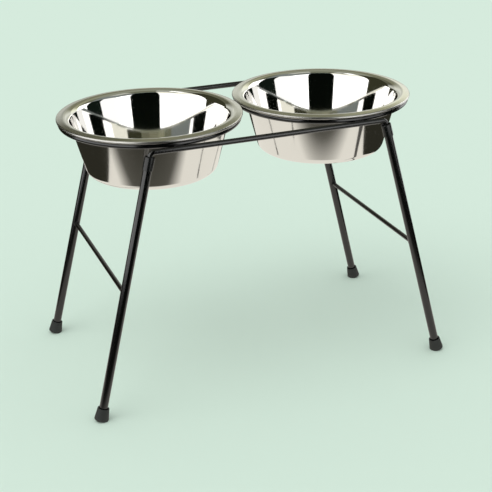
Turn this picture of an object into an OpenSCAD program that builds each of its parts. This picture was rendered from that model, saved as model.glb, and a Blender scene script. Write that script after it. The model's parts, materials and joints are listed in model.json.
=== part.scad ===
// Raised double feeder stand: two steel bowls hang in wire rings on two bent rails, and the rails'
// ends plug into two end frames of splayed tube legs. Millimetres, +Z up, front at -Y, origin on the
// floor under the middle of the stand.

/* [Bowls] */
// Height of the rims above the floor
stand_h = 356.5; // [250:0.5:450]
// Outside diameter of a bowl over its rolled rim
rim_d = 240; // [180:1:300]
// Gap between the two rims
rim_gap = 1.2; // [0.6:0.1:30]
// Outside diameter of the rolled bead at the rim
bead_d = 4.2; // [4:0.1:8]
// Width of the lip, from the axis of the bead to the axis of the turn into the bowl
lip_w = 6; // [5:0.5:14]
// Slope of the lip, down from the turn to the bead, in degrees
lip_slope = 12; // [0:1:20]
// Radius of the turn from the lip into the wall
lip_turn_r = 10; // [4:0.5:14]
// Outside depth of a bowl
bowl_depth = 78; // [50:1:110]
// Loss of radius down the wall, from the turn at the lip to the corner at the base
wall_inset = 36; // [20:0.5:45]
// Outside radius between base and wall
base_corner_r = 11; // [4:0.5:16]
// Thickness of the bowl's sheet
sheet_t = 0.8; // [0.5:0.1:1.2]

/* [Rings and rails] */
// Diameter of the ring's wire
ring_wire_d = 7; // [4:0.1:8]
// Slope at which the bead rests on the ring's shoulder, in degrees below level
seat_angle = 58; // [35:1:65]
// Height of a ring's axis above the rails' axis
ring_rise = 4.7; // [2:0.1:5.5]
// Diameter of the rail's wire
rail_wire_d = 7; // [5:0.1:8]
// Length of a rail's axis past the middle of a bowl, up to the corner
rail_overhang = 35.8; // [20:0.1:60]
// Radius of the rail's bend at its axis
rail_bend_r = 6.4; // [5:0.1:12]
// Loss of the wire's diameter where it is stretched in the bend
bend_thinning = 0.04; // [0.04:0.01:0.2]
// Length of a rail's stub inside its socket
stub_len = 14; // [8:0.5:30]
// Diameter of the weld that ties a ring to a rail
ring_weld_d = 5; // [3:0.5:7]
// Length of the weld that ties a ring to a rail
ring_weld_len = 12; // [6:0.5:24]

/* [Legs] */
// Outward lean of a leg along X, from the rail's corner to the floor
leg_splay_x = 87.3; // [0:0.1:140]
// Outward lean of a leg along Y, from the rail to the floor
leg_splay_y = 11.9; // [0:0.1:40]
// Outside diameter of a leg tube
leg_d = 11; // [9:0.1:14]
// Wall of a leg tube
leg_wall = 1; // [0.6:0.1:1.5]
// Height of the leg tube's lower end above the floor, along the leg
leg_end_h = 5; // [3.5:0.1:8]
// How far a socket's head stands out past the leg tube, all round
socket_proud = 1; // [0.2:0.1:3]
// Solid floor of a socket under the stub
socket_floor = 2.5; // [1:0.1:5]
// Length of the socket's spigot inside the tube
spigot_len = 10; // [5:0.5:25]
// Diameter of a crossbar
bar_d = 6; // [3:0.1:7]
// Height of the crossbars above the floor
bar_h = 168; // [60:1:240]
// Leg of the fillet weld at a crossbar's end
bar_weld = 1.4; // [0.8:0.1:2]

/* [Feet] */
// Wall of a rubber foot at its mouth
foot_wall = 2; // [1:0.05:3]
// Gain of radius down a rubber foot, from its mouth to its base
foot_flare = 1.6; // [0.5:0.1:6]
// Length of a rubber foot along the leg
foot_len = 17; // [12:0.5:30]
// Radius of the rounded lower edge of a foot
foot_edge_r = 2; // [0.5:0.1:3]
// Depth of rubber that is worn flat by the floor, at the low edge of the leaning foot
foot_flat = 1.4; // [0.6:0.1:2.5]

/* [Fits] */
// Gap between a bowl's bead and its ring
seat_gap = 0.3; // [0.1:0.05:0.5]
// Gap between a ring and a rail, bridged by the welds
ring_weld_gap = 0.2; // [0.1:0.05:0.5]
// Radial gap between a stub and its socket
stub_fit = 0.05; // [0.02:0.01:0.1]
// Gap between a stub's tip and the socket's floor, and between the bend and the socket's mouth
stub_end_gap = 0.3; // [0.1:0.05:1]
// Radial gap of the pieces that are pushed together for good
push_fit = 0.05; // [0.02:0.01:0.1]

/* [Hidden] */
$fn = 96;
arc_steps = 24;
hoop_sides = 360;
LEFT = -1;
RIGHT = 1;
FRONT = -1;
REAR = 1;
steel_colour = [0.80, 0.80, 0.77];
coat_colour = [0.06, 0.06, 0.06];
bush_colour = [0.16, 0.17, 0.17];
rubber_colour = [0.23, 0.24, 0.23];

// Bowl: axis, bead and the two arcs that the straight wall touches
bowl_x = (rim_d + rim_gap) / 2;
bead_r = bead_d / 2;
bead_axis_r = rim_d / 2 - bead_r;
base_z = stand_h - bowl_depth;
lip_arc = [bead_axis_r - lip_w, stand_h - lip_turn_r];
turn_over_bead = lip_turn_r - bead_r;
lip_run = (lip_w - turn_over_bead * sin(lip_slope)) / cos(lip_slope);
bead_axis_z = lip_arc.y + turn_over_bead * cos(lip_slope) - lip_run * sin(lip_slope);
lip_end = 90 - lip_slope;
base_arc = [lip_arc.x - wall_inset, base_z + base_corner_r];
base_inner_r = base_corner_r - sheet_t;
arc_gap = lip_arc - base_arc;
wall_angle = atan2(arc_gap.y, arc_gap.x) + asin((lip_turn_r + base_inner_r) / norm(arc_gap));
curl_end = -180;

// Ring: its shoulder carries the bead
ring_wire_r = ring_wire_d / 2;
ring_reach = bead_r + ring_wire_r + seat_gap;
ring_r = bead_axis_r - ring_reach * cos(seat_angle);
ring_z = bead_axis_z - ring_reach * sin(seat_angle);

// Rail: lies outside and below the ring
rail_wire_r = rail_wire_d / 2;
rail_reach = ring_wire_r + rail_wire_r + ring_weld_gap;
rail_out = sqrt(rail_reach * rail_reach - ring_rise * ring_rise);
rail_y = ring_r + rail_out;
rail_z = ring_z - ring_rise;
corner_x = bowl_x + rail_overhang;

// Lean of the stubs, which is also the way an end frame pulls off
splay = atan(leg_splay_x / rail_z);
bend_turn = 90 - splay;
bend_run = rail_bend_r * tan(bend_turn / 2);
bend_lap = acos(1 - bend_thinning / (4 * rail_bend_r));
mouth_drop = bend_run + stub_end_gap;
pull_way = [sin(splay), 0, -cos(splay)];

// Leg: straight from the socket's mouth to the floor
mouth = [corner_x, rail_y, rail_z] + mouth_drop * pull_way;
foot_point = [corner_x + leg_splay_x, rail_y + leg_splay_y, 0];
leg_vec = mouth - foot_point;
leg_len = norm(leg_vec);
lean = acos(leg_vec.z / leg_len);
leg_bore_d = leg_d - 2 * leg_wall;
socket_d = leg_d + 2 * socket_proud;
socket_bore_len = stub_len + stub_end_gap;
socket_len = socket_bore_len + socket_floor;
leg_top = leg_len - socket_len;

// Crossbar: meets the legs' axes at its height
bar_point = foot_point + leg_vec * bar_h / leg_vec.z;

// Foot: its cup takes the tube's end, and its low edge reaches below the floor before it is cut flat
cup_r = leg_d / 2 + push_fit;
foot_mouth_r = cup_r + foot_wall;
foot_base_r = foot_mouth_r + foot_flare;
flank = atan2(foot_len, -foot_flare);
foot_edge = [foot_base_r - foot_edge_r / tan(flank / 2), foot_edge_r];
low_edge_z = foot_edge.y * cos(lean) - foot_edge.x * sin(lean) - foot_edge_r;
foot_lift = -(low_edge_z + foot_flat) / cos(lean);
floor_slab = 4 * foot_base_r;

// Points of an arc in a profile, from one angle to another
function arc(centre, radius, from, to) = [
    for (i = [0 : arc_steps])
        let (a = from + (to - from) * i / arc_steps)
            centre + radius * [cos(a), sin(a)]
];

// Puts a piece of the right rear corner at any of the four corners
module corner(side, end) {
    mirror([side < 0 ? 1 : 0, 0, 0])
        mirror([0, end < 0 ? 1 : 0, 0])
            children();
}

// Local +Z runs up a leg from the floor
module on_leg() {
    translate(foot_point)
        rotate([0, lean, atan2(leg_vec.y, leg_vec.x)])
            children();
}

// Local +Z runs down a stub from the end of the rail's bend
module on_stub() {
    translate([corner_x, rail_y, rail_z] + bend_run * pull_way)
        rotate([0, 180 - splay, 0])
            children();
}

// One deep drawn sheet: base, wall, lip and the curled bead
module bowl_shape() {
    section = concat(
        [[0, base_z + sheet_t]],
        arc(base_arc, base_inner_r, -90, wall_angle - 90),
        arc(lip_arc, lip_turn_r, wall_angle + 90, lip_end),
        arc([bead_axis_r, bead_axis_z], bead_r, lip_end, curl_end),
        arc([bead_axis_r, bead_axis_z], bead_r - sheet_t, curl_end, lip_end),
        arc(lip_arc, lip_turn_r - sheet_t, lip_end, wall_angle + 90),
        arc(base_arc, base_corner_r, wall_angle - 90, -90),
        [[0, base_z]]
    );
    rotate_extrude()
        polygon(section);
}

module bowl(side) {
    color(steel_colour)
        translate([side * bowl_x, 0, 0])
            bowl_shape();
}

module ring_shape(side) {
    translate([side * bowl_x, 0, ring_z])
        rotate_extrude($fn = hoop_sides)
            translate([ring_r, 0])
                circle(d = ring_wire_d);
}

module ring(side) {
    color(coat_colour)
        ring_shape(side);
}

// Straight length of a rail between its bends
module rail_rod() {
    straight = corner_x - bend_run;
    translate([-straight, rail_y, rail_z])
        rotate([0, 90, 0])
            cylinder(d = rail_wire_d, h = 2 * straight);
}

// Bend and stub at the right end of a rail. The thinner bend runs a little way into both of them
module rail_end() {
    translate([corner_x - bend_run, rail_y, rail_z - rail_bend_r])
        rotate([90, 0, 0])
            rotate([0, 0, splay - bend_lap])
                rotate_extrude(angle = bend_turn + 2 * bend_lap)
                    translate([rail_bend_r, 0])
                        circle(d = rail_wire_d - bend_thinning);
    on_stub()
        cylinder(d = rail_wire_d, h = stub_end_gap + stub_len);
}

module rail_shape() {
    rail_rod();
    rail_end();
    mirror([1, 0, 0])
        rail_end();
}

module rail(end) {
    color(coat_colour)
        corner(RIGHT, end)
            rail_shape();
}

// Weld that fills the groove between a ring and a rail
module ring_weld(side, end) {
    share = (ring_wire_r + ring_weld_gap / 2) / rail_reach;
    weld_y = ring_r + share * rail_out;
    weld_z = ring_z - share * ring_rise;
    difference() {
        translate([side * bowl_x - ring_weld_len / 2, end * weld_y, weld_z])
            rotate([0, 90, 0])
                cylinder(d = ring_weld_d, h = ring_weld_len);
        ring_shape(side);
        corner(RIGHT, end)
            rail_rod();
    }
}

module ring_welds(side) {
    color(coat_colour)
        for (end = [FRONT, REAR])
            ring_weld(side, end);
}

module leg(side, end) {
    color(coat_colour)
        corner(side, end)
            on_leg()
                difference() {
                    translate([0, 0, leg_end_h])
                        cylinder(d = leg_d, h = leg_top - leg_end_h);
                    cylinder(d = leg_bore_d, h = leg_len);
                }
}

// Head on the tube's end, spigot inside it, and a blind hole along the stub
module socket(side, end) {
    color(bush_colour)
        corner(side, end)
            difference() {
                on_leg() {
                    translate([0, 0, leg_top])
                        cylinder(d = socket_d, h = socket_len);
                    translate([0, 0, leg_top - spigot_len])
                        cylinder(d = leg_bore_d - 2 * push_fit, h = spigot_len);
                }
                on_stub()
                    cylinder(d = rail_wire_d + 2 * stub_fit, h = stub_end_gap + socket_bore_len);
            }
}

// A leg's outside, for coping what is welded to it
module leg_outside(side, end, gap) {
    corner(side, end)
        on_leg()
            cylinder(d = leg_d + 2 * gap, h = leg_len);
}

module bar_rod(side) {
    translate([side * bar_point.x, -bar_point.y, bar_point.z])
        rotate([-90, 0, 0])
            cylinder(d = bar_d, h = 2 * bar_point.y);
}

module crossbar(side) {
    color(coat_colour)
        difference() {
            bar_rod(side);
            for (end = [FRONT, REAR])
                leg_outside(side, end, push_fit);
        }
}

// Fillet round a crossbar's end, saddled on the leg
module bar_fillet(side, end) {
    difference() {
        translate([side * bar_point.x, end * bar_point.y, bar_point.z])
            rotate([end * 90, 0, 0]) {
                cylinder(d = bar_d + 2 * bar_weld, h = leg_d / 2);
                translate([0, 0, leg_d / 2])
                    cylinder(d1 = bar_d + 2 * bar_weld, d2 = bar_d, h = bar_weld);
            }
        bar_rod(side);
        leg_outside(side, end, 0);
    }
}

module crossbar_welds(side) {
    color(coat_colour)
        for (end = [FRONT, REAR])
            bar_fillet(side, end);
}

// Tapered ferrule with a rounded lower edge, cut flat where it meets the floor.
// Its turning starts on the high side, clear of the cut.
module foot(side, end) {
    cup_floor = leg_end_h - foot_lift;
    section = concat(
        [[0, 0]],
        arc(foot_edge, foot_edge_r, -90, flank - 90),
        [[foot_mouth_r, foot_len], [cup_r, foot_len], [cup_r, cup_floor], [0, cup_floor]]
    );
    color(rubber_colour)
        corner(side, end)
            difference() {
                on_leg()
                    translate([0, 0, foot_lift])
                        rotate([0, 0, 180])
                            rotate_extrude()
                                polygon(section);
                translate([foot_point.x, foot_point.y, -floor_slab / 2])
                    cube(floor_slab, center = true);
            }
}

bowl(LEFT);  // left_bowl
bowl(RIGHT);  // right_bowl
ring(LEFT);  // left_ring
ring(RIGHT);  // right_ring
rail(FRONT);  // front_rail
rail(REAR);  // rear_rail
ring_welds(LEFT);  // left_ring_welds
ring_welds(RIGHT);  // right_ring_welds
leg(LEFT, FRONT);  // left_front_leg
leg(LEFT, REAR);  // left_rear_leg
leg(RIGHT, FRONT);  // right_front_leg
leg(RIGHT, REAR);  // right_rear_leg
socket(LEFT, FRONT);  // left_front_socket
socket(LEFT, REAR);  // left_rear_socket
socket(RIGHT, FRONT);  // right_front_socket
socket(RIGHT, REAR);  // right_rear_socket
crossbar(LEFT);  // left_crossbar
crossbar(RIGHT);  // right_crossbar
crossbar_welds(LEFT);  // left_crossbar_welds
crossbar_welds(RIGHT);  // right_crossbar_welds
foot(LEFT, FRONT);  // left_front_foot
foot(LEFT, REAR);  // left_rear_foot
foot(RIGHT, FRONT);  // right_front_foot
foot(RIGHT, REAR);  // right_rear_foot
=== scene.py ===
import json
import math

import bmesh
import bpy
from mathutils import Matrix, Vector


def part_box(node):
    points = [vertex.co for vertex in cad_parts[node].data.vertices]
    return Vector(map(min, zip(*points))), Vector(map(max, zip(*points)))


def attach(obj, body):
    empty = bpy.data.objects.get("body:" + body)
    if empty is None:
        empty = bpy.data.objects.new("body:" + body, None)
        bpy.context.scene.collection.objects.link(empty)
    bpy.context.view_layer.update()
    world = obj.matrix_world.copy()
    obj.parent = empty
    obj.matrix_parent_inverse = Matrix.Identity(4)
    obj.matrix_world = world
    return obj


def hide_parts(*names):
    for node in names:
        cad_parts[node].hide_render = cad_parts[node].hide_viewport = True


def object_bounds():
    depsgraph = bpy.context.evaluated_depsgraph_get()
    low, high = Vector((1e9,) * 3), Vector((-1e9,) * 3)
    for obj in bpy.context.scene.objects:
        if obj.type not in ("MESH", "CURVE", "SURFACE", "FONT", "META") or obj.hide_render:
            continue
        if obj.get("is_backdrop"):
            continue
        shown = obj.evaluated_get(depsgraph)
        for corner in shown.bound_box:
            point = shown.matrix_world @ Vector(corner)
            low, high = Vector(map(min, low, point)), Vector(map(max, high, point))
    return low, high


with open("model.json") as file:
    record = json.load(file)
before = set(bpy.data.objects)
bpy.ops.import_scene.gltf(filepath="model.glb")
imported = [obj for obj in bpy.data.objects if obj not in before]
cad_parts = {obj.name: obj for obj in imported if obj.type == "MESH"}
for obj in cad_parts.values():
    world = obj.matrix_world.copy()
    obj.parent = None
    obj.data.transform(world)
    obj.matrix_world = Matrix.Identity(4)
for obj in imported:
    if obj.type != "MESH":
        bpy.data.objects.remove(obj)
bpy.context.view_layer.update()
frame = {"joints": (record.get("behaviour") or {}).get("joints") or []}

# Camera
# The stand is seen from the front left and from above the rims, through a short telephoto lens. The
# place and the angles were fitted to the legs, the feet, the rails and the rims.
IMAGE_SIDE = 492
FOCAL_PIXELS = 1153.5
SENSOR_WIDTH = 36
VIEW_AZIMUTH = math.radians(-20.93)
VIEW_ELEVATION = math.radians(23.47)
VIEW_ROLL = math.radians(-1.04)
CAMERA_PLACE = Vector((-0.5187, -1.3791, 0.7868))

toward_viewer = Vector((math.sin(VIEW_AZIMUTH), -math.cos(VIEW_AZIMUTH), 0))
viewer_right = Vector((math.cos(VIEW_AZIMUTH), math.sin(VIEW_AZIMUTH), 0))
up = Vector((0, 0, 1))
look_back = toward_viewer * math.cos(VIEW_ELEVATION) + up * math.sin(VIEW_ELEVATION)
look_up = look_back.cross(viewer_right)
rolled_right = viewer_right * math.cos(VIEW_ROLL) + look_up * math.sin(VIEW_ROLL)
rolled_up = look_up * math.cos(VIEW_ROLL) - viewer_right * math.sin(VIEW_ROLL)
lens = bpy.data.cameras.new("camera")
lens.sensor_width = SENSOR_WIDTH
lens.lens = SENSOR_WIDTH * FOCAL_PIXELS / IMAGE_SIDE
camera = bpy.data.objects.new("camera", lens)
turn = Matrix((rolled_right, rolled_up, look_back)).transposed()
camera.matrix_world = Matrix.Translation(CAMERA_PLACE) @ turn.to_4x4()
bpy.context.scene.collection.objects.link(camera)
bpy.context.scene.camera = camera
bpy.context.scene.view_settings.view_transform = "Standard"


# Floor and soft light
# A pale matt floor runs past the view on all sides, under even light from all round and one wide
# soft lamp high on the left.
class Shade:
    """One socket of a shader node tree. Sums and products of these add Math nodes."""

    def __init__(self, tree, socket=None):
        self.tree = tree
        self.socket = socket

    def node(self, kind, settings=None, inputs=None, output=None):
        """Adds a node: its settings first, then the values or links of its sockets by identifier."""
        made = self.tree.nodes.new("ShaderNode" + kind)
        for key, value in (settings or {}).items():
            setattr(made, key, value)
        for key, value in (inputs or {}).items():
            socket = next(s for s in made.inputs if s.identifier == key)
            if isinstance(value, Shade):
                self.tree.links.new(value.socket, socket)
            else:
                socket.default_value = value
        outputs = [s for s in made.outputs if s.enabled and output in (None, s.identifier)]
        return Shade(self.tree, outputs[0] if outputs else None)

    def math(self, operation, first, second):
        return self.node("Math", {"operation": operation}, {"Value": first, "Value_001": second})

    def mix(self, factor, low, high):
        """Colour between two colours."""
        links = {"Factor_Float": factor, "A_Color": low, "B_Color": high}
        return self.node("Mix", {"data_type": "RGBA"}, links, "Result_Color")

    def noise(self, place, scale, detail):
        """Cloudy value from 0 to 1, with a number of clouds to the metre."""
        return self.node("TexNoise", None, {"Vector": place, "Scale": scale, "Detail": detail}, "Fac")

    def bump(self, height, strength, depth):
        """Normal of a surface that rises with a value."""
        return self.node("Bump", None, {"Height": height, "Strength": strength, "Distance": depth})

    def __add__(self, other):
        return self.math("ADD", self, other)

    def __mul__(self, other):
        return self.math("MULTIPLY", self, other)

    __radd__ = __add__
    __rmul__ = __mul__


PALE = (0.672, 0.831, 0.723, 1)
SKY = (0.8, 0.8, 0.8, 1)
FLOOR_REACH = 8
SUN_LEVEL = 0.2
SUN_SPREAD = math.radians(50)
SUN_NEAR = 0.35
SUN_LEFT = 0.45
SUN_FROM = (toward_viewer * SUN_NEAR - viewer_right * SUN_LEFT + up).normalized()
SQUARE = ((-1, -1), (1, -1), (1, 1), (-1, 1))
UNIT_SQUARE = ((0, 0), (1, 0), (1, 1), (0, 1))


def empty_material(name):
    """New material with no nodes, and the Shade that adds them."""
    material = bpy.data.materials.new(name)
    material.use_nodes = True
    material.node_tree.nodes.clear()
    return material, Shade(material.node_tree)


def stage_sheet(name, corners, material):
    """Four-sided sheet of the studio, with a UV map that covers it once."""
    mesh = bpy.data.meshes.new(name)
    mesh.from_pydata(corners, [], [(0, 1, 2, 3)])
    spread = mesh.uv_layers.new(name="spread")
    for loop, place in zip(spread.data, UNIT_SQUARE):
        loop.uv = place
    mesh.materials.append(material)
    sheet = bpy.data.objects.new(name, mesh)
    bpy.context.scene.collection.objects.link(sheet)
    sheet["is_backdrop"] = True
    return sheet


floor_material, shade = empty_material("floor")
matt = shade.node("BsdfDiffuse", None, {"Color": PALE})
shade.node("OutputMaterial", None, {"Surface": matt})
floor_corners = [(x * FLOOR_REACH, y * FLOOR_REACH, 0) for x, y in SQUARE]
stage_sheet("floor", floor_corners, floor_material)

world = bpy.data.worlds.new("studio")
world.use_nodes = True
world.node_tree.nodes.clear()
bpy.context.scene.world = world
shade = Shade(world.node_tree)
seen = shade.node("LightPath", None, None, "Is Camera Ray")
seen = seen + shade.node("LightPath", None, None, "Is Glossy Ray")
seen = seen + shade.node("LightPath", None, None, "Is Transmission Ray")
sky = shade.node("Background", None, {"Color": shade.mix(seen, SKY, PALE)})
shade.node("OutputWorld", None, {"Surface": sky})

sun_data = bpy.data.lights.new("soft_sun", "SUN")
sun_data.energy = math.pi * SUN_LEVEL / SUN_FROM.z
sun_data.angle = SUN_SPREAD
sun = bpy.data.objects.new("soft_sun", sun_data)
sun.rotation_mode = "QUATERNION"
sun.rotation_quaternion = (-SUN_FROM).to_track_quat("-Z", "Y")
sun.visible_glossy = False
bpy.context.scene.collection.objects.link(sun)


# Cards round the stand
# Polished steel and gloss coat show what stands round them. Boards in two tiers, dark flags, graded
# rear boards, a ceiling with paler strips and a table top with soft edges are set up round the stand.
# They glow, and only reflections show them.
def card(name, corners, first_colour, last_colour):
    """Four-sided sheet that glows from one colour at its first edge to another at the opposite edge."""
    material, shade = empty_material(name)
    spread = shade.node("UVMap", {"uv_map": "spread"})
    along = shade.node("SeparateXYZ", None, {"Vector": spread}, "Y")
    colour = shade.mix(along, (*first_colour, 1), (*last_colour, 1))
    glow = shade.node("Emission", None, {"Color": colour})
    shade.node("OutputMaterial", None, {"Surface": glow})
    material.cycles.emission_sampling = "NONE"
    board = stage_sheet(name, corners, material)
    board.visible_camera = False
    board.visible_diffuse = False
    board.visible_transmission = False
    board.visible_volume_scatter = False
    board.visible_shadow = False


def upright_card(name, first, second, low, high, low_colour, high_colour):
    """Card that stands between two ends, each given to the viewer's right and towards the viewer."""
    ends = [viewer_right * right + toward_viewer * near for right, near in (first, second)]
    corners = [ends[0] + up * low, ends[1] + up * low, ends[1] + up * high, ends[0] + up * high]
    card(name, corners, low_colour, high_colour)


def level_card(name, corners, height, first_colour, last_colour):
    """Level card, its corners given to the viewer's right and towards the viewer."""
    spots = [viewer_right * right + toward_viewer * near + up * height for right, near in corners]
    card(name, spots, first_colour, last_colour)


WHITE_BOARD = (2.0, 2.0, 1.98)
SIDE_BOARD = (1.25, 1.25, 1.23)
BLACK_FLAG = (0.002, 0.003, 0.002)
LEFT_FLAG = (0.04, 0.041, 0.022)
RIGHT_FLAG = (0.006, 0.01, 0.007)
OLIVE = (0.17, 0.177, 0.12)
CREAM = (1.12, 1.11, 0.98)
SLATE = (0.22, 0.245, 0.235)
FRONT = 0.7
SIDE = 0.9
REAR = -1.0
TOP = 1.9
MIDDLE = 1.08
LOW = 0.12
FLAG = 0.75
FLAG_LEFT = -0.45
FLAG_END = 0.14
GAP_LEFT = -0.26
GAP_RIGHT = 0.335
CORNER = -0.36

STANDING = [
    ("left_front_board", (-SIDE, FRONT), (GAP_LEFT, FRONT), LOW, MIDDLE, WHITE_BOARD),
    ("left_front_upper", (-SIDE, FRONT), (GAP_LEFT, FRONT), MIDDLE, TOP, CREAM),
    ("left_side_board", (-SIDE, 0), (-SIDE, FRONT), LOW, MIDDLE, WHITE_BOARD),
    ("left_side_upper", (-SIDE, 0), (-SIDE, FRONT), MIDDLE, TOP, CREAM),
    ("right_front_board", (GAP_RIGHT, FRONT), (SIDE, FRONT), LOW, MIDDLE, WHITE_BOARD),
    ("right_front_upper", (GAP_RIGHT, FRONT), (SIDE, FRONT), MIDDLE, TOP, SLATE),
    ("right_side_board", (SIDE, FLAG_END), (SIDE, FRONT), LOW, MIDDLE, SIDE_BOARD),
    ("right_side_upper", (SIDE, CORNER), (SIDE, FRONT), MIDDLE, TOP, SLATE),
    ("right_rear_board", (SIDE, REAR), (SIDE, CORNER), 0, MIDDLE, WHITE_BOARD),
    ("right_rear_upper", (SIDE, REAR), (SIDE, CORNER), MIDDLE, TOP, OLIVE),
    ("front_flag", (FLAG_LEFT, FLAG), (SIDE, FLAG), 0, TOP, BLACK_FLAG),
    ("left_flag", (-SIDE, REAR), (-SIDE, 0), 0, TOP, LEFT_FLAG),
    ("right_flag", (SIDE, CORNER), (SIDE, FLAG_END), 0, MIDDLE, RIGHT_FLAG),
]
for name, first, second, low, high, colour in STANDING:
    upright_card(name, first, second, low, high, colour, colour)

REAR_TINT = (1, 1.02, 0.9)
OLIVE_TINT = (1, 1, 0.66)
OLIVE_FROM = 0.6
OLIVE_WHOLE = 0.86
REAR_SPLIT = 0.3
SKIRT_TOP = 0.35
BAND_FROM = 0.52


def rear_colour(height, level):
    """Colour of a rear board, which turns to olive with its height."""
    share = min(1, max(0, (height - OLIVE_FROM) / (OLIVE_WHOLE - OLIVE_FROM)))
    return tuple(level * (a + share * (b - a)) for a, b in zip(REAR_TINT, OLIVE_TINT))


def rear_board(ends, skirt, band, band_top, dim, dim_from, top):
    """Board with a grey skirt, a pale band higher than the rims, and a dim upper part."""
    left, right = ends
    levels = [(0, skirt), (SKIRT_TOP, skirt), (BAND_FROM, band), (band_top, band)]
    levels += [(dim_from, dim), (TOP, top)]
    for lower, upper in zip(levels, levels[1:]):
        colours = rear_colour(*lower), rear_colour(*upper)
        upright_card("rear_board", (left, REAR), (right, REAR), lower[0], upper[0], *colours)


LEFT_ENDS = (-SIDE, -REAR_SPLIT)
MIDDLE_ENDS = (-REAR_SPLIT, REAR_SPLIT)
RIGHT_ENDS = (REAR_SPLIT, SIDE)
rear_board(LEFT_ENDS, skirt=0.4, band=0.62, band_top=0.6, dim=0.1, dim_from=0.86, top=0.2)
rear_board(MIDDLE_ENDS, skirt=0.42, band=0.75, band_top=0.62, dim=0.22, dim_from=0.86, top=0.24)
rear_board(RIGHT_ENDS, skirt=0.5, band=1.0, band_top=0.72, dim=0.38, dim_from=0.98, top=0.28)

REAR_CEILING = (0.29, 0.3, 0.23)
PALE_CEILING = (0.55, 0.56, 0.5)
STRIP_HEIGHT = 1.89
STRIP_SPLIT = -0.55
STRIP_REAR = -0.05
STRIP_FRONT = 0.45
LEFT_STRIP_FRONT = 0.3
CEILING = [
    ("ceiling", -SIDE, SIDE, REAR, FRONT, TOP, OLIVE),
    ("left_rear_ceiling", -SIDE, STRIP_SPLIT, 0, LEFT_STRIP_FRONT, STRIP_HEIGHT, WHITE_BOARD),
    ("rear_ceiling", -SIDE, SIDE, REAR, STRIP_REAR, STRIP_HEIGHT, REAR_CEILING),
    ("left_ceiling", STRIP_SPLIT, GAP_LEFT, STRIP_REAR, STRIP_FRONT, STRIP_HEIGHT, PALE_CEILING),
    ("right_ceiling", GAP_RIGHT, SIDE, STRIP_REAR, STRIP_FRONT, STRIP_HEIGHT, PALE_CEILING),
]
for name, left, right, rear, front, height, colour in CEILING:
    level_card(name, [(left, rear), (right, rear), (right, front), (left, front)], height, colour, colour)

TABLE = (0.86, 0.83, 0.75)
TABLE_SHADE = (0.09, 0.086, 0.072)
DARK_FLOOR = (0.026, 0.025, 0.018)
GROUND_REACH = 4
GROUND_LIFT = 0.0005
TABLE_LIFT = 2 * GROUND_LIFT
TABLE_LEFT = -0.49
TABLE_RIGHT = 0.54
TABLE_REAR_LEFT = -0.42
TABLE_REAR_RIGHT = 0.28
TABLE_REAR = -0.7
TABLE_BEND_LEFT = 0
TABLE_BEND_RIGHT = 0.1
TABLE_FRONT = 0.23
TABLE_EDGE = 0.315
TABLE_FAR = 0.46
TABLE_LINES = [
    ((TABLE_REAR_LEFT, TABLE_REAR), (TABLE_REAR_RIGHT, TABLE_REAR), TABLE),
    ((TABLE_LEFT, TABLE_BEND_LEFT), (TABLE_RIGHT, TABLE_BEND_RIGHT), TABLE),
    ((TABLE_LEFT, TABLE_FRONT), (TABLE_RIGHT, TABLE_FRONT), TABLE),
    ((TABLE_LEFT, TABLE_EDGE), (TABLE_RIGHT, TABLE_EDGE), TABLE_SHADE),
    ((TABLE_LEFT, TABLE_FAR), (TABLE_RIGHT, TABLE_FAR), DARK_FLOOR),
]
TABLE_NAMES = ("table_rear", "table_middle", "table_edge", "table_front")
ground_corners = [(x * GROUND_REACH, y * GROUND_REACH) for x, y in SQUARE]
level_card("dark_ground", ground_corners, GROUND_LIFT, DARK_FLOOR, DARK_FLOOR)
for name, first, last in zip(TABLE_NAMES, TABLE_LINES, TABLE_LINES[1:]):
    first_left, first_right, first_colour = first
    last_left, last_right, last_colour = last
    corners = [first_left, first_right, last_right, last_left]
    level_card(name, corners, TABLE_LIFT, first_colour, last_colour)


# Rails
# Two long wires carry the rings. Each is one straight piece of steel wire, bent down tightly at both
# ends into stubs that plug into the legs, and powder coated in glossy black.
MM = 0.001
RAIL_OVERHANG = 35.8 * MM
RAIL_BEND_R = 6.4 * MM
RAIL_BEND_STEPS = 20
RAIL_ROUND_STEPS = 40
STUB_REACH = 14.3 * MM
SHARP_ANGLE = math.radians(40)
COAT_DARK = (0.0012, 0.0012, 0.0013, 1)
COAT_PALE = (0.0026, 0.0027, 0.0028, 1)
COAT_IOR = 1.6
COAT_ROUGHNESS = 0.13
COAT_ROUGHNESS_RISE = 0.08
COAT_CLOUDS = 30
COAT_PEEL = 900
COAT_PEEL_DEPTH = 0.3 * MM
COAT_PEEL_STRENGTH = 0.05


def black_coat():
    """Glossy black powder coat: faint orange peel, and gloss that changes a little along the wire."""
    material, shade = empty_material("black_coat")
    place = shade.node("TexCoord", None, None, "Object")
    cloud = shade.noise(place, COAT_CLOUDS, detail=3)
    peel = shade.noise(place, COAT_PEEL, detail=2)
    bump = shade.bump(peel, COAT_PEEL_STRENGTH, COAT_PEEL_DEPTH)
    surface = shade.node(
        "BsdfPrincipled",
        None,
        {
            "Base Color": shade.mix(cloud, COAT_DARK, COAT_PALE),
            "Roughness": COAT_ROUGHNESS + COAT_ROUGHNESS_RISE * cloud,
            "IOR": COAT_IOR,
            "Normal": bump,
        },
    )
    shade.node("OutputMaterial", None, {"Surface": surface})
    return material


def add_piece(name, mesh, material, body, slot, *nodes):
    """Puts a finished mesh on a body, in the place of CAD nodes."""
    mesh.materials.clear()
    mesh.materials.append(material)
    piece = bpy.data.objects.new(name, mesh)
    bpy.context.scene.collection.objects.link(piece)
    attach(piece, body)
    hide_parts(*nodes)


def smoothed(mesh):
    """Smooth shading, but for edges with more than a set angle between their faces."""
    mesh.shade_smooth()
    mesh.set_sharp_from_angle(angle=SHARP_ANGLE)
    return mesh


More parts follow.
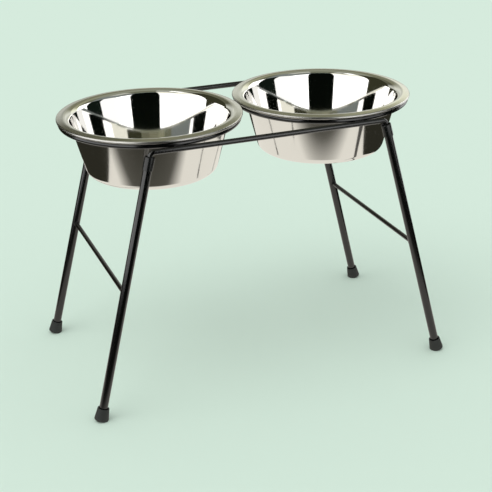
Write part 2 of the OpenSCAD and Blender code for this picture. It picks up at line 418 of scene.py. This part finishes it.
def tree_node(tree, kind, settings=None, inputs=None):
    """Adds a geometry node and returns its first output."""
    made = tree.nodes.new(kind)
    for key, value in (settings or {}).items():
        setattr(made, key, value)
    for key, value in (inputs or {}).items():
        socket = made.inputs[key]
        if isinstance(value, bpy.types.NodeSocket):
            tree.links.new(value, socket)
        else:
            socket.default_value = value
    return made.outputs[0]


def new_tree(name, **inputs):
    """Geometry node tree with a mesh input and named inputs, and its sockets by name."""
    tree = bpy.data.node_groups.new(name, "GeometryNodeTree")
    tree.interface.new_socket("Path", in_out="INPUT", socket_type="NodeSocketGeometry")
    for key, kind in inputs.items():
        tree.interface.new_socket(key, in_out="INPUT", socket_type="NodeSocket" + kind)
    tree.interface.new_socket("Mesh", in_out="OUTPUT", socket_type="NodeSocketGeometry")
    sockets = tree.nodes.new("NodeGroupInput").outputs
    return tree, {s.name: s for s in sockets if s.name}


def end_tree(tree, geometry, material):
    """Every tree ends in one real mesh with its material."""
    whole = tree_node(tree, "GeometryNodeRealizeInstances", None, {"Geometry": geometry})
    coated = tree_node(tree, "GeometryNodeSetMaterial", None, {"Geometry": whole, "Material": material})
    tree.links.new(coated, tree.nodes.new("NodeGroupOutput").inputs[0])


def grown(name, paths, tree, **sizes):
    """Mesh that a tree makes from paths, each a list of points."""
    mesh = bpy.data.meshes.new(name + "_path")
    points = [p for path in paths for p in path]
    edges = []
    start = 0
    for path in paths:
        edges += [(start + k, start + k + 1) for k in range(len(path) - 1)]
        start += len(path)
    mesh.from_pydata(points, edges, [])
    maker = bpy.data.objects.new(name + "_path", mesh)
    bpy.context.scene.collection.objects.link(maker)
    modifier = maker.modifiers.new("grow", "NODES")
    modifier.node_group = tree
    for item in tree.interface.items_tree:
        if item.name in sizes:
            modifier[item.identifier] = sizes[item.name]
    evaluated = maker.evaluated_get(bpy.context.evaluated_depsgraph_get())
    made = bpy.data.meshes.new_from_object(evaluated)
    made.name = name
    maker.modifiers.remove(modifier)
    bpy.data.objects.remove(maker)
    return smoothed(made)


def wire_tree(material):
    """Round wire along a path, with its corners bent to a radius."""
    tree, size = new_tree("bent_wire", Radius="Float", Bend="Float")
    path = tree_node(tree, "GeometryNodeMeshToCurve", None, {"Mesh": size["Path"]})
    bent = tree_node(
        tree,
        "GeometryNodeFilletCurve",
        {"mode": "POLY"},
        {"Curve": path, "Radius": size["Bend"], "Count": RAIL_BEND_STEPS, "Limit Radius": True},
    )
    section = tree_node(
        tree,
        "GeometryNodeCurvePrimitiveCircle",
        None,
        {"Resolution": RAIL_ROUND_STEPS, "Radius": size["Radius"]},
    )
    wire = tree_node(
        tree,
        "GeometryNodeCurveToMesh",
        None,
        {"Curve": bent, "Profile Curve": section, "Fill Caps": True},
    )
    end_tree(tree, wire, material)
    return tree


def pull_axis(joint_name):
    """Unit direction in which an end frame pulls off."""
    joint = next(j for j in frame["joints"] if j["name"] == joint_name)
    return Vector(joint["axis"]).normalized()


coat = black_coat()
wire = wire_tree(coat)
bowl_low, bowl_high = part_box("right_bowl")
corner_x = (bowl_low.x + bowl_high.x) / 2 + RAIL_OVERHANG
left_pull = pull_axis("left_end_pull")
right_pull = pull_axis("right_end_pull")
bend_run = RAIL_BEND_R * math.tan(math.acos(right_pull.x) / 2)
# The rails mirror each other, so what meets them takes its place from the values that this loop leaves.
for name in ("front_rail", "rear_rail"):
    low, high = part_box(name)
    rail_r = (high.y - low.y) / 2
    rail_y = (high.y + low.y) / 2
    rail_z = high.z - rail_r
    left_corner = Vector((-corner_x, rail_y, rail_z))
    right_corner = Vector((corner_x, rail_y, rail_z))
    reach = bend_run + STUB_REACH
    path = [left_corner + reach * left_pull, left_corner, right_corner, right_corner + reach * right_pull]
    mesh = grown(name, [path], wire, Radius=rail_r, Bend=RAIL_BEND_R)
    add_piece(name + "_wire", mesh, coat, "stand_top", "black_coat", name)


# Rings
# Each bowl hangs in a closed ring of the same coated wire. The ring lies on the inner upper side of
# both rails and is welded to them.
RING_STEPS = 240
RING_ROUND_STEPS = 32
POLE_R = 1e-7


def arc(centre, radius, start, end, steps):
    """Outline points of an arc, in degrees."""
    angles = [math.radians(start + (end - start) * k / steps) for k in range(steps + 1)]
    return [(centre[0] + radius * math.cos(a), centre[1] + radius * math.sin(a)) for a in angles]


def ring_points(place, radius, height, steps):
    """Points of a circle round a place's local Z."""
    angles = [2 * math.pi * k / steps for k in range(steps)]
    return [place @ Vector((radius * math.cos(a), radius * math.sin(a), height)) for a in angles]


def closed_mesh(name, shape):
    """Mesh of a closed shape, with its faces turned outwards."""
    bmesh.ops.recalc_face_normals(shape, faces=shape.faces)
    mesh = bpy.data.meshes.new(name)
    shape.to_mesh(mesh)
    shape.free()
    return smoothed(mesh)


def turned(name, outline, place, steps, closed=False, marks=None):
    """Mesh of an outline of (radius, height) points spun about local Z. Marks are values per point."""
    shape = bmesh.new()
    turns = shape.loops.layers.uv.new("turn")
    mark = shape.verts.layers.float.new("satin")
    lengths = [0]
    for (r0, h0), (r1, h1) in zip(outline, outline[1:] + outline[:1]):
        lengths.append(lengths[-1] + math.hypot(r1 - r0, h1 - h0))
    rings = []
    for index, (radius, height) in enumerate(outline):
        count = steps if radius > POLE_R else 1
        ring = [shape.verts.new(spot) for spot in ring_points(place, radius, height, count)]
        if marks:
            for vertex in ring:
                vertex[mark] = marks[index]
        rings.append(ring * (steps // count))
    for index in range(len(outline) if closed else len(outline) - 1):
        lower = rings[index]
        upper = rings[(index + 1) % len(rings)]
        for here in range(steps):
            after = (here + 1) % steps
            corners = {}
            for vertex, around, along in (
                (lower[here], here, index),
                (lower[after], here + 1, index),
                (upper[after], here + 1, index + 1),
                (upper[here], here, index + 1),
            ):
                corners.setdefault(vertex, (around / steps, lengths[along]))
            face = shape.faces.new(list(corners))
            for loop in face.loops:
                loop[turns].uv = corners[loop.vert]
    return closed_mesh(name, shape)


ring_places = {}
for name in ("left_ring", "right_ring"):
    low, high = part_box(name)
    ring_wire_r = (high.z - low.z) / 2
    ring_r = (high.x - low.x) / 2 - ring_wire_r
    middle = (low + high) / 2
    outline = arc((ring_r, 0), ring_wire_r, 0, 360, RING_ROUND_STEPS)[:-1]
    mesh = turned(name, outline, Matrix.Translation(middle), RING_STEPS, closed=True)
    add_piece(name + "_wire", mesh, coat, "stand_top", "black_coat", name)
    ring_places[name] = middle


# Ring welds
# Short weld beads lie in the groove between a ring and a rail, two to a ring, under the coat.
# A bead is a row of overlapping ripples.
RIPPLE_STEP = 1.3 * MM
RIPPLE_LEAST = (0.42, 0.9, 0.9)
RIPPLE_MOST = (0.5, 1.0, 1.0)
RIPPLE_ROUNDNESS = 3
RING_WELD_R = 2.4 * MM


def ripple_tree(material):
    """Row of flattened beads along a path, each a little different."""
    tree, size = new_tree("weld_ripples", Radius="Float", Step="Float", Seed="Int")
    path = tree_node(tree, "GeometryNodeMeshToCurve", None, {"Mesh": size["Path"]})
    spots = tree_node(
        tree,
        "GeometryNodeResampleCurve",
        {"mode": "LENGTH"},
        {"Curve": path, "Length": size["Step"]},
    )
    bead = tree_node(
        tree,
        "GeometryNodeMeshIcoSphere",
        None,
        {"Radius": size["Radius"], "Subdivisions": RIPPLE_ROUNDNESS},
    )
    flow = tree_node(tree, "GeometryNodeInputTangent")
    turned_bead = tree_node(tree, "FunctionNodeAlignRotationToVector", {"axis": "X"}, {"Vector": flow})
    uneven = tree_node(
        tree,
        "FunctionNodeRandomValue",
        {"data_type": "FLOAT_VECTOR"},
        {"Min": RIPPLE_LEAST, "Max": RIPPLE_MOST, "Seed": size["Seed"]},
    )
    row = tree_node(
        tree,
        "GeometryNodeInstanceOnPoints",
        None,
        {"Points": spots, "Instance": bead, "Rotation": turned_bead, "Scale": uneven},
    )
    smooth = tree_node(tree, "GeometryNodeSetShadeSmooth", None, {"Geometry": row})
    end_tree(tree, smooth, material)
    return tree


ripples = ripple_tree(coat)
for seed, side in enumerate(("left", "right")):
    name = side + "_ring_welds"
    low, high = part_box(name)
    ring = ring_places[side + "_ring"]
    paths = []
    for end in ("front", "rear"):
        rail_low, rail_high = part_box(end + "_rail")
        rail_axis_y = (rail_low.y + rail_high.y) / 2
        ring_side_y = math.copysign(1, rail_axis_y) * ring_r
        share = ring_wire_r / (ring_wire_r + rail_r)
        weld_y = ring_side_y + share * (rail_axis_y - ring_side_y)
        weld_z = ring.z + share * (rail_z - ring.z)
        bead_ends = low.x + RING_WELD_R / 2, high.x - RING_WELD_R / 2
        paths.append([Vector((x, weld_y, weld_z)) for x in bead_ends])
    mesh = grown(name, paths, ripples, Radius=RING_WELD_R, Step=RIPPLE_STEP, Seed=seed)
    add_piece(name + "_beads", mesh, coat, "stand_top", "black_coat", name)


# Legs
# Four round steel tubes splay outwards from the rails' corners down into the feet, coated like the
# rails. Two of them and a crossbar make an end frame.
LEG_SPLAY_X = 87.3 * MM
LEG_SPLAY_Y = 11.9 * MM
LEG_R = 5.5 * MM
LEG_WALL = 1 * MM
LEG_END_H = 5 * MM
EDGE_CHAMFER = 0.3 * MM
STUB_END_GAP = 0.3 * MM
SOCKET_LEN = 16.8 * MM
ROUND_STEPS = 64
CORNERS = [(side, end) for side in ("left", "right") for end in ("front", "rear")]


def signs(side, end):
    """Signs of X and Y at a corner of the stand."""
    return (-1 if side == "left" else 1), (-1 if end == "front" else 1)


def rail_corner(side, end):
    """Corner of a rail's axis above a leg, and the direction in which that end frame pulls off."""
    sign_x, sign_y = signs(side, end)
    corner = Vector((sign_x * corner_x, sign_y * abs(rail_y), rail_z))
    return corner, left_pull if side == "left" else right_pull


def leg_place(side, end):
    """Matrix with the origin on the floor and local Z up along a leg, and the leg's length."""
    sign_x, sign_y = signs(side, end)
    foot = Vector((sign_x * (corner_x + LEG_SPLAY_X), sign_y * (abs(rail_y) + LEG_SPLAY_Y), 0))
    corner, pull = rail_corner(side, end)
    rise = corner + (bend_run + STUB_END_GAP) * pull - foot
    frame_turn = rise.to_track_quat("Z", "Y").to_matrix().to_4x4()
    return Matrix.Translation(foot) @ frame_turn, rise.length


for side, end in CORNERS:
    name = side + "_" + end + "_leg"
    place, length = leg_place(side, end)
    top = length - SOCKET_LEN
    outline = [
        (LEG_R - LEG_WALL, LEG_END_H),
        (LEG_R - EDGE_CHAMFER, LEG_END_H),
        (LEG_R, LEG_END_H + EDGE_CHAMFER),
        (LEG_R, top - EDGE_CHAMFER),
        (LEG_R - EDGE_CHAMFER, top),
        (LEG_R - LEG_WALL, top),
    ]
    mesh = turned(name, outline, place, ROUND_STEPS, closed=True)
    add_piece(name + "_tube", mesh, coat, side + "_end", "black_coat", name)


# Sockets
# A moulded bush closes the top of each leg: a head a little wider than the tube, a spigot pressed into
# it, and a blind hole along the rail's stub.
SOCKET_R = 6.5 * MM
SPIGOT_R = 4.45 * MM
SPIGOT_LEN = 10 * MM
STUB_HOLE_R = 3.55 * MM
STUB_HOLE_LEN = 14.3 * MM
HEAD_ROUND = 1.1 * MM
HEAD_ROUND_STEPS = 6
BUSH_DARK = (0.002, 0.0024, 0.0024, 1)
BUSH_PALE = (0.0045, 0.0052, 0.0052, 1)
BUSH_IOR = 1.5
BUSH_ROUGHNESS = 0.2
BUSH_ROUGHNESS_RISE = 0.12
BUSH_CLOUDS = 120
BUSH_GRAIN = 2600
BUSH_GRAIN_DEPTH = 0.1 * MM
BUSH_GRAIN_STRENGTH = 0.2


def black_bush():
    """Satin moulded black with a fine grain."""
    material, shade = empty_material("black_bush")
    place = shade.node("TexCoord", None, None, "Object")
    cloud = shade.noise(place, BUSH_CLOUDS, detail=3)
    grain = shade.noise(place, BUSH_GRAIN, detail=2)
    bump = shade.bump(grain, BUSH_GRAIN_STRENGTH, BUSH_GRAIN_DEPTH)
    surface = shade.node(
        "BsdfPrincipled",
        None,
        {
            "Base Color": shade.mix(cloud, BUSH_DARK, BUSH_PALE),
            "Roughness": BUSH_ROUGHNESS + BUSH_ROUGHNESS_RISE * cloud,
            "IOR": BUSH_IOR,
            "Normal": bump,
        },
    )
    shade.node("OutputMaterial", None, {"Surface": surface})
    return material


def lofted(name, rings):
    """Closed mesh through rings of equal counts, with one flat face at each end."""
    shape = bmesh.new()
    made = [[shape.verts.new(p) for p in ring] for ring in rings]
    for lower, upper in zip(made, made[1:]):
        for here in range(len(lower)):
            after = (here + 1) % len(lower)
            shape.faces.new((lower[here], lower[after], upper[after], upper[here]))
    shape.faces.new(made[0])
    shape.faces.new(made[-1])
    return closed_mesh(name, shape)


bush = black_bush()
for side, end in CORNERS:
    name = side + "_" + end + "_socket"
    place, length = leg_place(side, end)
    corner, pull = rail_corner(side, end)
    hole_turn = (-pull).to_track_quat("Z", "Y").to_matrix().to_4x4()
    hole = Matrix.Translation(corner + bend_run * pull) @ hole_turn
    head = length - SOCKET_LEN
    outside = [(SPIGOT_R - EDGE_CHAMFER, head - SPIGOT_LEN), (SPIGOT_R, head - SPIGOT_LEN + EDGE_CHAMFER)]
    outside += [(SPIGOT_R, head), (SOCKET_R - EDGE_CHAMFER, head), (SOCKET_R, head + EDGE_CHAMFER)]
    outside += arc((SOCKET_R - HEAD_ROUND, length - HEAD_ROUND), HEAD_ROUND, 0, 90, HEAD_ROUND_STEPS)
    inside = [
        (STUB_HOLE_R + EDGE_CHAMFER, STUB_END_GAP),
        (STUB_HOLE_R, STUB_END_GAP + EDGE_CHAMFER),
        (STUB_HOLE_R, STUB_END_GAP + STUB_HOLE_LEN),
    ]
    rings = [ring_points(place, radius, height, ROUND_STEPS) for radius, height in outside]
    rings += [ring_points(hole, radius, -depth, ROUND_STEPS) for radius, depth in inside]
    mesh = lofted(name, rings)
    add_piece(name + "_bush", mesh, bush, side + "_end", "black_bush", name)


# Crossbars
# A thin rod ties the two legs of an end frame at half height. Its ends butt against the tubes and are
# welded all round.
BAR_SINK = 0.8 * MM
FILLET_R = 1.5 * MM
SADDLE_STEPS = 48
FIRST_SEED = 10

for seed, side in enumerate(("left", "right"), FIRST_SEED):
    name = side + "_crossbar"
    low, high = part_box(name)
    bar_r = (high.z - low.z) / 2
    bar_z = (high.z + low.z) / 2
    bar_ends = []
    saddles = []
    for end in ("front", "rear"):
        place = leg_place(side, end)[0]
        rise = (place.to_3x3() @ up).normalized()
        centre = place.translation + rise * bar_z / rise.z
        way = Vector((0, -signs(side, end)[1], 0))
        bar_ends.append(centre + way * (LEG_R - BAR_SINK))
        tilt = way.dot(rise)
        square = 1 - tilt * tilt
        # The saddle is where lines along the rod's surface come out of the tube.
        saddle = []
        for k in range(SADDLE_STEPS + 1):
            angle = 2 * math.pi * k / SADDLE_STEPS
            off = bar_r * Vector((math.cos(angle), 0, math.sin(angle)))
            lean = off.dot(rise)
            half = lean * tilt
            run = (half + math.sqrt(half * half + square * (LEG_R**2 - bar_r**2 + lean * lean))) / square
            saddle.append(centre + off + way * run)
        saddles.append(saddle)
    mesh = grown(name, [bar_ends], wire, Radius=bar_r, Bend=0.0)
    add_piece(name + "_rod", mesh, coat, side + "_end", "black_coat", name)
    weld_name = name + "_welds"
    mesh = grown(weld_name, saddles, ripples, Radius=FILLET_R, Step=RIPPLE_STEP, Seed=seed)
    add_piece(weld_name + "_beads", mesh, coat, side + "_end", "black_coat", weld_name)


# Feet
# Tapered rubber ferrules are pushed over the tubes' lower ends. The mouth opens a little round the
# tube, and the low edge of the leaning foot is worn flat by the floor.
FOOT_LEN = 17 * MM
FOOT_CUP_R = 5.55 * MM
FOOT_MOUTH_R = 7.55 * MM
FOOT_BASE_R = 9.15 * MM
FOOT_EDGE_R = 2 * MM
FOOT_EDGE_STEPS = 12
FOOT_FLAT = 1.4 * MM
MOUTH_OPEN = 1.0 * MM
MOUTH_DEPTH = 2.2 * MM
MOUTH_ROUND = 0.5 * MM
MOUTH_ROUND_STEPS = 5
RUBBER_DARK = (0.011, 0.0124, 0.0116, 1)
RUBBER_PALE = (0.024, 0.027, 0.025, 1)
RUBBER_ROUGHNESS = 0.62
RUBBER_ROUGHNESS_RISE = 0.2
RUBBER_CLOUDS = 160
RUBBER_GRAIN = 1800
RUBBER_GRAIN_DEPTH = 0.15 * MM
RUBBER_GRAIN_STRENGTH = 0.3
DUST = (0.055, 0.058, 0.053, 1)
DUST_H = 5 * MM
DUST_MOST = 0.5


def grey_rubber():
    """Matt dark grey rubber, with a little dust towards the floor."""
    material, shade = empty_material("grey_rubber")
    place = shade.node("TexCoord", None, None, "Object")
    height = shade.node("SeparateXYZ", None, {"Vector": place}, "Z")
    cloud = shade.noise(place, RUBBER_CLOUDS, detail=4)
    grain = shade.noise(place, RUBBER_GRAIN, detail=2)
    dusty = shade.node(
        "MapRange",
        None,
        {"Value": height, "From Min": DUST_H, "From Max": 0.0, "To Min": 0.0, "To Max": DUST_MOST},
        "Result",
    )
    rubber = shade.mix(cloud, RUBBER_DARK, RUBBER_PALE)
    bump = shade.bump(grain, RUBBER_GRAIN_STRENGTH, RUBBER_GRAIN_DEPTH)
    surface = shade.node(
        "BsdfPrincipled",
        None,
        {
            "Base Color": shade.mix(dusty * grain, rubber, DUST),
            "Roughness": RUBBER_ROUGHNESS + RUBBER_ROUGHNESS_RISE * cloud,
            "Normal": bump,
        },
    )
    shade.node("OutputMaterial", None, {"Surface": surface})
    return material


rubber = grey_rubber()
flank = math.atan2(FOOT_LEN, FOOT_MOUTH_R - FOOT_BASE_R)
edge_r = FOOT_BASE_R - FOOT_EDGE_R / math.tan(flank / 2)
mouth_round = (FOOT_MOUTH_R - MOUTH_ROUND, FOOT_LEN - MOUTH_ROUND)
for side, end in CORNERS:
    name = side + "_" + end + "_foot"
    place = leg_place(side, end)[0]
    rise = place.to_3x3() @ up
    lean_cos = rise.z
    lean_sin = math.sqrt(1 - lean_cos * lean_cos)
    low_edge = FOOT_EDGE_R * lean_cos - edge_r * lean_sin - FOOT_EDGE_R
    lift = -(low_edge + FOOT_FLAT) / lean_cos
    outline = [(0, 0)]
    outline += arc((edge_r, FOOT_EDGE_R), FOOT_EDGE_R, -90, math.degrees(flank) - 90, FOOT_EDGE_STEPS)
    outline += arc(mouth_round, MOUTH_ROUND, 0, 90, MOUTH_ROUND_STEPS)
    outline += [
        (FOOT_CUP_R + MOUTH_OPEN, FOOT_LEN - MOUTH_ROUND / 2),
        (FOOT_CUP_R, FOOT_LEN - MOUTH_DEPTH),
        (FOOT_CUP_R, LEG_END_H - lift),
        (0, LEG_END_H - lift),
    ]
    mesh = turned(name, outline, place @ Matrix.Translation((0, 0, lift)), ROUND_STEPS)
    for vertex in mesh.vertices:
        vertex.co.z = max(vertex.co.z, 0)
    add_piece(name + "_ferrule", mesh, rubber, side + "_end", "grey_rubber", name)


# Bowls
# Each bowl is one deep drawn sheet of stainless steel, mirror polished, with a finely ground lip that
# slopes down outwards. The lip's edge is curled down into a bead, which hangs on the ring.
BEAD_R = 2.1 * MM
BEAD_STEPS = 28
BEAD_COARSE_FROM = 30
CURL_END = -180
CURL_STEPS = 24
LIP_W = 6 * MM
LIP_SLOPE = 12
LIP_OVER_BEAD = 20
LIP_OVER_STEPS = 4
LIP_TURN_R = 10 * MM
LIP_TURN_STEPS = 24
LIP_GROUND_POINTS = 10
UNDER_TURN_STEPS = 14
WALL_INSET = 36 * MM
BASE_CORNER_R = 11 * MM
INSIDE_CORNER_STEPS = 14
OUTSIDE_CORNER_STEPS = 16
SHEET_T = 0.8 * MM
BOWL_STEPS = 256
STEEL_BRIGHT = (0.86, 0.85, 0.83, 1)
STEEL_DULL = (0.40, 0.395, 0.37, 1)
STEEL_ROUGHNESS = 0.03
SMUDGE_ROUGHNESS = 0.03
SATIN_ROUGHNESS = 0.27
SMUDGE_DULLS = 0.08
SATIN_DULLS = 0.8
SMUDGES = 14
LINES_AROUND = 14
LINES_ALONG = 2600
LINE_HEIGHT = 0.03
SATIN_LINE_HEIGHT = 0.3
LINE_DEPTH = 0.12 * MM
LINE_STRENGTH = 0.25
MIRROR = 0.0
BASE_SATIN = 0.05
LIP_SATIN = 0.5
BEAD_SATIN = 1.0
CURL_SATIN = 0.3
UNDERSIDE_SATIN = 0.2
OUTSIDE_SATIN = 0.12


def polished_steel():
    """Mirror polish with faint lines round the bowl, and a satin lip where the lines are coarse."""
    material, shade = empty_material("polished_steel")
    turn_map = shade.node("UVMap", {"uv_map": "turn"})
    around = shade.node("SeparateXYZ", None, {"Vector": turn_map}, "X")
    along = shade.node("SeparateXYZ", None, {"Vector": turn_map}, "Y")
    satin = shade.node("Attribute", {"attribute_name": "satin"}, None, "Fac")
    place = shade.node("TexCoord", None, None, "Object")
    spun = shade.node("CombineXYZ", None, {"X": LINES_AROUND * around, "Y": LINES_ALONG * along})
    lines = shade.node(
        "TexNoise",
        {"noise_dimensions": "2D"},
        {"Vector": spun, "Scale": 1, "Detail": 3},
        "Fac",
    )
    smudge = shade.noise(place, SMUDGES, detail=4)
    bump = shade.bump(lines * (LINE_HEIGHT + SATIN_LINE_HEIGHT * satin), LINE_STRENGTH, LINE_DEPTH)
    dulled = SMUDGE_DULLS * smudge + SATIN_DULLS * satin * satin
    surface = shade.node(
        "BsdfPrincipled",
        None,
        {
            "Base Color": shade.mix(dulled, STEEL_BRIGHT, STEEL_DULL),
            "Metallic": 1,
            "Roughness": STEEL_ROUGHNESS + SMUDGE_ROUGHNESS * smudge + SATIN_ROUGHNESS * satin,
            "Normal": bump,
        },
    )
    shade.node("OutputMaterial", None, {"Surface": surface})
    return material


steel = polished_steel()
for side in ("left", "right"):
    name = side + "_bowl"
    low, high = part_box(name)
    rim_r = (high.x - low.x) / 2
    lip = (rim_r - BEAD_R - LIP_W, high.z - LIP_TURN_R)
    lip_tilt = math.radians(LIP_SLOPE)
    lip_run = (LIP_W - (LIP_TURN_R - BEAD_R) * math.sin(lip_tilt)) / math.cos(lip_tilt)
    bead_z = lip[1] + (LIP_TURN_R - BEAD_R) * math.cos(lip_tilt) - lip_run * math.sin(lip_tilt)
    bead = (rim_r - BEAD_R, bead_z)
    lip_end = 90 - LIP_SLOPE
    base = (lip[0] - WALL_INSET, low.z + BASE_CORNER_R)
    base_inner_r = BASE_CORNER_R - SHEET_T
    gap = math.hypot(lip[0] - base[0], lip[1] - base[1])
    slope = math.atan2(lip[1] - base[1], lip[0] - base[0]) + math.asin((LIP_TURN_R + base_inner_r) / gap)
    wall = math.degrees(slope)
    lip_turn = arc(lip, LIP_TURN_R, wall + 90, lip_end, LIP_TURN_STEPS)
    parts = [
        ([(0, low.z + SHEET_T)], BASE_SATIN),
        (arc(base, base_inner_r, -90, wall - 90, INSIDE_CORNER_STEPS), BASE_SATIN),
        (lip_turn[:-LIP_GROUND_POINTS], MIRROR),
        (lip_turn[-LIP_GROUND_POINTS:], LIP_SATIN),
        (arc(bead, BEAD_R, lip_end, lip_end - LIP_OVER_BEAD, LIP_OVER_STEPS), LIP_SATIN),
        (arc(bead, BEAD_R, lip_end - BEAD_COARSE_FROM, CURL_END, BEAD_STEPS), BEAD_SATIN),
        (arc(bead, BEAD_R - SHEET_T, CURL_END, lip_end, CURL_STEPS), CURL_SATIN),
        (arc(lip, LIP_TURN_R - SHEET_T, lip_end, wall + 90, UNDER_TURN_STEPS), UNDERSIDE_SATIN),
        (arc(base, BASE_CORNER_R, wall - 90, -90, OUTSIDE_CORNER_STEPS), OUTSIDE_SATIN),
        ([(0, low.z)], UNDERSIDE_SATIN),
    ]
    outline = [point for points, satin in parts for point in points]
    marks = [satin for points, satin in parts for point in points]
    centre = Matrix.Translation(((low.x + high.x) / 2, (low.y + high.y) / 2, 0))
    mesh = turned(name, outline, centre, BOWL_STEPS, marks=marks)
    add_piece(name + "_shell", mesh, steel, name + "_body", "polished_steel", name)

# Size of the dressed stand
low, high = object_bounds()
